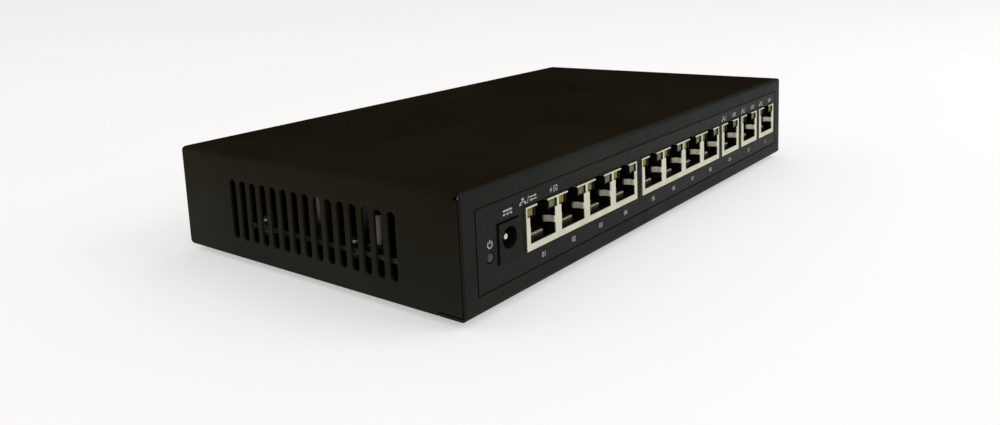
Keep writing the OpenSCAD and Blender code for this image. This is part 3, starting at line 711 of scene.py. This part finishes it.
class FinishBoard(SwitchOperator):
    """Finishes the board, its parts and its fasteners."""

    bl_idname = "network_switch.finish_board"
    bl_label = "Finish the board"

    def execute(self, context):
        looks = context.scene.switch_board
        epoxy = cast_epoxy(looks.epoxy)
        tin = plated_metal("TinnedCopper", looks.tin, 0.3)
        wear("main_board", solder_mask(looks.mask))
        wear("heat_sink", black_anodising(looks.anodised))
        wear("capacitor_cans", etched_aluminium(looks.aluminium))
        wear("chip_capacitors", fired_ceramic("TanCeramic", looks.tan))
        wear("input_fuse", fired_ceramic("WhiteCeramic", looks.white))
        wear("clock_crystal", plated_metal("StampedCrystalCan", looks.tin, 0.24))
        wear("board_standoffs", plated_metal("TurnedBrass", looks.brass, 0.3))
        wear("choke_coil", cast_epoxy(scaled(looks.epoxy, 2)))
        leads = ("lamp_leads", "power_lamp_leads", "magnetics_leads", "switch_chip_leads")
        for node in ("board_screws",) + leads:
            wear(node, tin)
        moulded = ["magnetics_" + jack for jack in JACKS] + [
            "switch_chip", "power_controller_a", "power_controller_b", "flash_chip",
            "bridge_rectifier", "regulator_chip", "capacitor_bases",
        ]
        for node in moulded:
            wear(node, epoxy)
        return {"FINISHED"}


class MakeLenses(SwitchOperator):
    """Makes the two ribbed lenses above every port."""

    bl_idname = "network_switch.make_lenses"
    bl_label = "Make the port lenses"

    rib_depth = 0.1 * MM

    def lens(self, size, ribs):
        """One lens about its own middle: a block with fine upright ribs across its face."""
        half = size / 2
        steps = max(2 * ribs, 1)
        face = [
            (-half.x + size.x * i / steps, -half.y + self.rib_depth * (i % 2)) for i in range(steps + 1)
        ]
        outline = face + [(half.x, half.y), (-half.x, half.y)]
        bm = bmesh.new()
        bm.faces.new([bm.verts.new((x, y, -half.z)) for x, y in outline])
        grown = bmesh.ops.extrude_face_region(bm, geom=bm.faces[:])["geom"]
        rising = [v for v in grown if isinstance(v, bmesh.types.BMVert)]
        bmesh.ops.translate(bm, verts=rising, vec=(0, 0, size.z))
        bmesh.ops.recalc_face_normals(bm, faces=bm.faces)
        return from_bmesh("lens_shape", bm)

    def execute(self, context):
        looks = context.scene.switch_jacks
        rows = [
            ("link_lamps", "link_lenses", "MilkyYellowLens", looks.left_lens, "lens_yellow"),
            ("power_lamps", "power_lenses", "MilkyGreenLens", looks.right_lens, "lens_green"),
        ]
        ports = port_places()
        for node, name, finish, rgb, slot in rows:
            low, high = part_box(node)
            width = self.lens_width(node, ports)
            on_left = node == "link_lamps"
            shift = low.x - ports[0] + width / 2 if on_left else high.x - ports[-1] - width / 2
            places = [(x + shift, (low.y + high.y) / 2, (low.z + high.z) / 2) for x in ports]
            shape = self.lens(Vector((width, high.y - low.y, high.z - low.z)), looks.rib_count)
            piece = repeated(name, shape, places, milky_lens(finish, rgb), smooth=False)
            hand_over(piece, slot, node)
        return {"FINISHED"}

    def lens_width(self, node, ports):
        """The width of the first lens of a row, read from the frame."""
        reach = (ports[1] - ports[0]) / 2
        xs = [v.co.x for v in NODES[node].data.vertices if abs(v.co.x - ports[0]) < reach]
        return max(xs) - min(xs)


class PrintMarks(SwitchOperator):
    """Prints the ports' numbers and the plain marks on the label."""

    bl_idname = "network_switch.print_marks"
    bl_label = "Print the marks"

    def number(self, text, x, z, sizes, y):
        curve = bpy.data.curves.new("number_" + text, "FONT")
        curve.body = text
        curve.size = sizes.number_height / DIGIT_HEIGHT
        curve.align_x = "CENTER"
        curve.align_y = "CENTER"
        curve.extrude = sizes.ink_height / 2
        curve.offset = sizes.bolder
        piece = new_piece("number_" + text, curve)
        mesh = bpy.data.meshes.new_from_object(piece.evaluated_get(context_graph()))
        bpy.data.objects.remove(piece)
        mesh.transform(Matrix.Translation((x, y - sizes.ink_height / 2, z)) @ Matrix.Rotation(pi / 2, 4, "X"))
        return mesh

    def execute(self, context):
        sizes = context.scene.switch_print
        ink = screen_ink(context.scene.switch_case.ink)
        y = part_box("front_label")[0].y
        jack_low, jack_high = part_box("jack_housing_a")
        ports = port_places()
        bm = bmesh.new()
        for i, x in enumerate(ports, 1):
            z = jack_low.z - sizes.number_drop
            mesh = self.number(f"{i:02d}", x + sizes.number_shift, z, sizes, y)
            bm.from_mesh(mesh)
            bpy.data.meshes.remove(mesh)
        piece = from_bmesh("port_numbers", bm)
        piece.data.materials.append(ink)
        hand_over(piece, "label_film")

        mark_z = jack_high.z + sizes.mark_rise
        inlet, lamp = middle("inlet_body"), middle("power_lamp")
        inlet_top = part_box("inlet_body")[1].z
        marks = [
            (DIRECT_CURRENT_MARK, inlet.x, inlet_top + 2.5 * MM),
            (POWER_MARK, lamp.x, lamp.z + 3.6 * MM),
            (NETWORK_MARK, ports[0] - 8.2 * MM, mark_z),
            (SLASH_MARK, ports[0] - 5.8 * MM, mark_z),
            (TRAFFIC_MARK, ports[0] - 3.4 * MM, mark_z),
            (BOLT_MARK, ports[0] + 5.3 * MM, mark_z),
            (SOCKET_MARK, ports[0] + 7.6 * MM, mark_z),
        ]
        for x in ports[2 * GANG_PORTS :]:
            marks += [
                (NETWORK_MARK, x - 5.4 * MM, mark_z), (SLASH_MARK, x - 3.1 * MM, mark_z),
                (TRAFFIC_MARK, x + 5 * MM, mark_z),
            ]
        bm = bmesh.new()
        for shapes, x, z in marks:
            for shape in shapes:
                slab(bm, [(x + u * MM, z + w * MM) for u, w in shape], y, sizes.ink_height)
        piece = from_bmesh("label_marks", bm)
        piece.data.materials.append(ink)
        hand_over(piece, "label_film")
        return {"FINISHED"}


class MakeFeet(SwitchOperator):
    """Makes the four rubber feet, with a rounded rim and shallow grip rings underneath."""

    bl_idname = "network_switch.make_feet"
    bl_label = "Make the feet"

    # Millimetres, apart from the number of rings and their spacing as a share of the foot's radius
    rings, ring_share = 4, 0.16
    groove, rim, chamfer = 0.18, 0.55, 0.2

    def execute(self, context):
        corners = ["foot_front_left", "foot_front_right", "foot_rear_left", "foot_rear_right"]
        low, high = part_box(corners[0])
        radius, height = (high.x - low.x) / 2 / MM, (high.z - low.z) / MM
        step = radius * self.ring_share
        profile = [(0, self.groove), (step, self.groove)]
        for i in range(1, self.rings + 1):
            level = 0 if i % 2 else self.groove
            profile += [(step * i, level), (step * (i + 0.7), level)]
        profile += [
            (radius - self.rim + self.rim * sin(t), self.rim - self.rim * cos(t))
            for t in (0.2, 0.6, 1.0, 1.3, pi / 2)
        ]
        profile += [(radius, height - self.chamfer), (radius - self.chamfer, height), (0, height)]
        shape = from_bmesh("foot_shape", lathe(profile))
        places = [(middle(c).x, middle(c).y, low.z) for c in corners]
        piece = repeated("rubber_feet", shape, places, moulded_rubber(context.scene.switch_case.rubber))
        hand_over(piece, "foot_rubber", *corners)
        return {"FINISHED"}


class MakeScrews(SwitchOperator):
    """Makes the cover's screws: pan heads with a cross recess and a thread."""

    bl_idname = "network_switch.make_screws"
    bl_label = "Make the cover screws"

    # Millimetres, apart from the count and the shares of the shank's radius or of the head's sizes
    count = 3
    shank_radius, thread_pitch = 1.5, 0.5
    root_share, tip_share = 0.8, 0.7
    rim_share, slot_depth_share, slot_reach_share = 0.42, 0.62, 0.6
    slot_half_width = 0.36

    def screw(self, head_radius, head_height, shank_length):
        """One screw along +Z in millimetres, seated at z = 0."""
        crest, pitch = self.shank_radius, self.thread_pitch
        root = crest * self.root_share
        profile = [(0, -shank_length), (crest * self.tip_share, -shank_length)]
        for i in range(int(shank_length / pitch)):
            level = -shank_length + pitch / 2 + pitch * i
            profile += [(root, level), (crest, level + pitch / 2)]
        profile += [(root, -0.02), (root, 0), (head_radius, 0)]
        rim = self.rim_share
        profile += [
            (head_radius * cos(t), head_height * (rim + (1 - rim) * sin(t)))
            for t in [radians(a) for a in (0, 14, 28, 42, 56, 70)]
        ]
        profile += [(0, head_height)]
        body = from_bmesh("screw_shape", lathe(profile, 32))
        bm = bmesh.new()
        top = head_height * MM
        reach, depth = head_radius * self.slot_reach_share, top * self.slot_depth_share
        for size in ((reach, self.slot_half_width), (self.slot_half_width, reach)):
            slot = bmesh.ops.create_cube(bm, size=2, matrix=Matrix.Translation((0, 0, top)))["verts"]
            for v in slot:
                v.co.x *= size[0] * MM
                v.co.y *= size[1] * MM
                v.co.z = top + (depth if v.co.z > top else -depth)
        cutter = from_bmesh("recess_shape", bm)
        cut = body.modifiers.new("recess", "BOOLEAN")
        cut.operation = "DIFFERENCE"
        cut.object = cutter
        cut.solver = "EXACT"
        cut.use_self = True
        mesh = bpy.data.meshes.new_from_object(body.evaluated_get(context_graph()))
        body.modifiers.clear()
        body.data = mesh
        bpy.data.objects.remove(cutter)
        return body

    def execute(self, context):
        low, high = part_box("cover_screws")
        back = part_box("top_cover")[1].y
        radius = (high.z - low.z) / 2 / MM
        shape = self.screw(radius, (high.y - back) / MM, (back - low.y) / MM)
        shape.data.transform(Matrix.Rotation(-pi / 2, 4, "X"))
        z, left, right = (low.z + high.z) / 2, low.x + radius * MM, high.x - radius * MM
        places = [(left + (right - left) * i / (self.count - 1), back, z) for i in range(self.count)]
        steel = plated_metal("BlackZincSteel", context.scene.switch_case.screw, 0.34)
        hand_over(repeated("back_screws", shape, places, steel), "screw_steel", "cover_screws")
        return {"FINISHED"}


class SetStage(SwitchOperator):
    """Lays the floor and sets up the lights, the surround and the camera."""

    bl_idname = "network_switch.set_stage"
    bl_label = "Set the stage"

    # The side of each square softbox, and its place from the middle of the object, in metres
    key_side, key_place = 0.9, (0.55, -1.1, 0.75)
    fill_side, fill_place = 0.5, (-1.0, 0.95, 0.75)
    floor_radius = 8
    room_tint = (1, 0.95, 0.88, 1)

    def floor(self, looks):
        # Pale painted board on a light table: lit partly from below, and it throws little light back.
        made = Surface("PaintedFloor", Roughness=0.9, Specular_IOR_Level=0.1)
        paint = made.ramp(made.noise(300, 2), scaled(looks.floor, 0.99), looks.floor)
        made.use(Base_Color=paint)
        tree = made.tree
        glow = add(tree, "ShaderNodeEmission", {"Color": paint, "Strength": 1.0})
        lit = self.mixed(tree, looks.glow, made.shader, glow)
        bounce = add(tree, "ShaderNodeBsdfDiffuse", {"Color": grey(looks.bounce)})
        rays = add(tree, "ShaderNodeLightPath")
        seen = self.mixed(tree, rays.outputs["Is Diffuse Ray"], lit, bounce)
        tree.links.new(seen.outputs[0], tree.nodes["Material Output"].inputs["Surface"])
        bm = bmesh.new()
        bmesh.ops.create_circle(bm, cap_ends=True, segments=64, radius=self.floor_radius)
        piece = from_bmesh("floor", bm)
        piece.location.z = CAD_BOX[0][2]
        piece.data.materials.append(made.material)

    def surround(self, looks):
        """Pale all round, except that glossy faces see a dim room above them."""
        world = bpy.data.worlds.new("Surround")
        bpy.context.scene.world = world
        world.use_nodes = True
        tree = world.node_tree
        tree.nodes.clear()
        rays = add(tree, "ShaderNodeLightPath")
        even = add(tree, "ShaderNodeBackground", {"Color": grey(1), "Strength": looks.surround})
        dim = add(tree, "ShaderNodeBackground", {"Color": self.room_tint, "Strength": looks.overhead})
        seen = self.mixed(tree, rays.outputs["Is Glossy Ray"], even, dim)
        add(tree, "ShaderNodeOutputWorld", {"Surface": seen.outputs[0]})

    def mixed(self, tree, factor, first, second):
        """Two shaders mixed: all of the first at factor 0, all of the second at 1."""
        return add(tree, "ShaderNodeMixShader", {0: factor, 1: first.outputs[0], 2: second.outputs[0]})

    def softbox(self, name, watts, side, offset):
        """A square area light at an offset from the middle of the object, aimed at that middle."""
        light = bpy.data.lights.new(name, "AREA")
        light.energy = watts
        light.size = side
        lamp = new_piece(name, light)
        lamp.location = CAD_MIDDLE + Vector(offset)
        lamp.rotation_euler = (CAD_MIDDLE - lamp.location).to_track_quat("-Z", "Y").to_euler()

    def camera(self, looks):
        data = bpy.data.cameras.new("camera")
        data.lens = looks.lens
        data.shift_y = looks.rise
        data.clip_start = 0.01
        camera = new_piece("camera", data)
        turn = Matrix.Rotation(-looks.heading, 4, "Z") @ Matrix.Rotation(pi / 2 - looks.dip, 4, "X")
        camera.matrix_world = Matrix.Translation(looks.eye) @ turn @ Matrix.Rotation(looks.roll, 4, "Z")
        bpy.context.scene.camera = camera

    def execute(self, context):
        looks = context.scene.switch_stage
        self.camera(looks)
        self.floor(looks)
        self.surround(looks)
        self.softbox("key_light", looks.key, self.key_side, self.key_place)
        self.softbox("fill_light", looks.fill, self.fill_side, self.fill_place)
        context.scene.view_settings.view_transform = "Standard"
        return {"FINISHED"}


class SwitchPanel(bpy.types.Panel):
    """The switch maker in the sidebar."""

    bl_idname = "SWITCH_PT_maker"
    bl_label = "Network Switch"
    bl_space_type = "VIEW_3D"
    bl_region_type = "UI"
    bl_category = "Switch"

    def draw(self, context):
        for title, attribute in GROUPS.items():
            box = self.layout.box()
            box.label(text=title)
            settings = getattr(context.scene, attribute)
            for name in settings.__annotations__:
                box.prop(settings, name)
        for step in STEPS:
            self.layout.operator(step.bl_idname)


GROUPS = {
    "Case": "switch_case",
    "Jacks": "switch_jacks",
    "Board": "switch_board",
    "Print": "switch_print",
    "Stage": "switch_stage",
}
SETTINGS = (CaseLooks, JackLooks, BoardLooks, PrintSizes, StageLooks)
STEPS = (SetStage, FinishCase, FinishJacks, FinishBoard, MakeLenses, PrintMarks, MakeFeet, MakeScrews)


def register():
    for kind in (*SETTINGS, *STEPS, SwitchPanel):
        bpy.utils.register_class(kind)
    for attribute, kind in zip(GROUPS.values(), SETTINGS):
        setattr(bpy.types.Scene, attribute, PointerProperty(type=kind))


def unregister():
    for attribute in GROUPS.values():
        delattr(bpy.types.Scene, attribute)
    for kind in reversed((*SETTINGS, *STEPS, SwitchPanel)):
        bpy.utils.unregister_class(kind)


def main():
    register()
    for step in STEPS:
        group, name = step.bl_idname.split(".")
        getattr(getattr(bpy.ops, group), name)()


if __name__ == "__main__":
    main()
